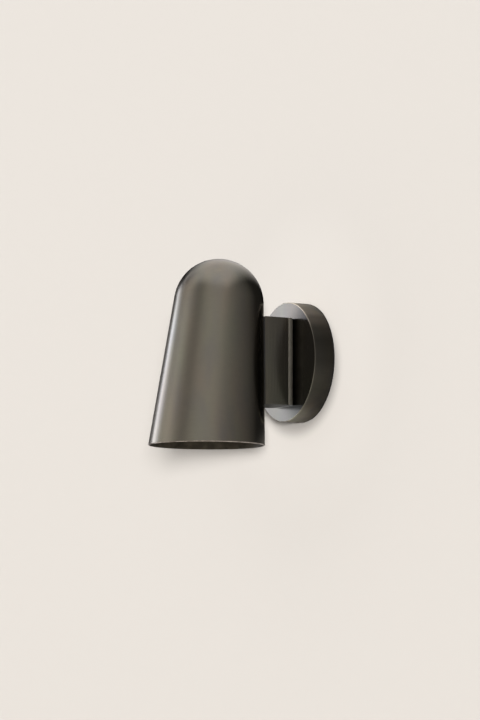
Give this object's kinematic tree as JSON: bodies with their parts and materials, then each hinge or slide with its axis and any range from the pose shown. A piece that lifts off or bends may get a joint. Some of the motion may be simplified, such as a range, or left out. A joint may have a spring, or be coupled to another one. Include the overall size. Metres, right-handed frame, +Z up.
{
  "type": "outdoor wall lamp",
  "caption": "Downlight wall lamp: round wall plate, upright block neck and a dome-topped tapered metal shade round one screw-in lamp.",
  "frame": {"origin": "centre of the wall plate in the plane of the wall, midway between the two wall screw slots", "axes": "+Y points into the wall, so the lamp stands out towards -Y; +Z is up; X runs side to side and X = 0 is the plane of symmetry of the casing"},
  "size_m": [0.12, 0.1678, 0.1855],
  "materials": {
    "patinated_brass": "dark bronze patina, satin, lightly mottled",
    "zinc_plated_steel": "bright zinc plate",
    "plain_brass": "bare, drawn",
    "tinned_copper": "tinned",
    "black_rubber": "matt, moulded",
    "natural_polyamide": "moulded",
    "black_thermoplastic": "fine spark-eroded texture",
    "glazed_steatite": "glazed",
    "nickel_plate": "nickel plate, rolled",
    "black_cap_glass": "black glass",
    "white_lamp_plastic": "moulded, fine matt",
    "opal_plastic": "opal, frosted",
    "light_board_aluminium": "white solder mask",
    "yellow_phosphor": "yellow phosphor",
    "green_board": "green solder mask",
    "brown_insulation": "silicone insulation",
    "blue_insulation": "silicone insulation",
    "green_yellow_insulation": "green and yellow insulation"
  },
  "bodies": {
    "fixture": {"wall_plate": "patinated_brass", "neck_body": "patinated_brass", "neck_top_cap": "patinated_brass", "neck_bottom_cap": "patinated_brass", "shade": "patinated_brass", "mounting_plate": "zinc_plated_steel", "wall_plate_grub_screws": "zinc_plated_steel", "neck_rear_screws": "zinc_plated_steel", "neck_rear_washers": "zinc_plated_steel", "neck_rear_block": "zinc_plated_steel", "neck_front_block": "zinc_plated_steel", "lampholder_bracket": "zinc_plated_steel", "bracket_screws": "zinc_plated_steel", "bracket_washers": "zinc_plated_steel", "earth_tooth_washer": "zinc_plated_steel", "earth_screw": "zinc_plated_steel", "terminal_block_screw": "zinc_plated_steel", "lampholder_nipple": "zinc_plated_steel", "lampholder_lock_nut": "zinc_plated_steel", "lampholder_tooth_washer": "zinc_plated_steel", "terminal_tubes": "plain_brass", "terminal_clamp_screws": "plain_brass", "lampholder_terminals": "plain_brass", "lampholder_terminal_screws": "plain_brass", "lampholder_centre_contact": "plain_brass", "earth_ring_terminal": "tinned_copper", "wall_gasket": "black_rubber", "cable_entry_bush": "black_rubber", "neck_rear_bush": "black_rubber", "neck_gasket": "black_rubber", "neck_front_bush": "black_rubber", "bracket_grommet": "black_rubber", "terminal_block": "natural_polyamide", "lampholder_cap": "black_thermoplastic", "lampholder_body": "black_thermoplastic", "saddle_pad": "black_thermoplastic", "lampholder_insert": "glazed_steatite", "lampholder_screw_shell": "nickel_plate", "live_wire": "brown_insulation", "neutral_wire": "blue_insulation", "earth_wire": "green_yellow_insulation"},
    "lamp_contact": {"lamp_end_contact": "nickel_plate", "lamp_insulator": "black_cap_glass"},
    "lamp": {"lamp_screw_cap": "nickel_plate", "lamp_body": "white_lamp_plastic", "lamp_light_board": "light_board_aluminium", "lamp_light_chips": "yellow_phosphor", "lamp_driver": "green_board", "lamp_globe": "opal_plastic"}
  },
  "joints": [
    {"name": "lamp_travel", "type": "slide", "parent": "fixture", "child": "lamp_contact", "axis": [0, -0.0872, -0.9962], "range_m": [0, 0.0091]},
    {"name": "lamp_turn", "type": "hinge", "parent": "lamp_contact", "child": "lamp", "pos_m": [0, -0.0979, 0.0539], "axis": [0, -0.0872, -0.9962], "range_deg": [0, 900]}
  ],
  "couplings": [
    {"joint": "lamp_travel", "follows": "lamp_turn", "m_per_rad": 0.00057757}
  ]
}
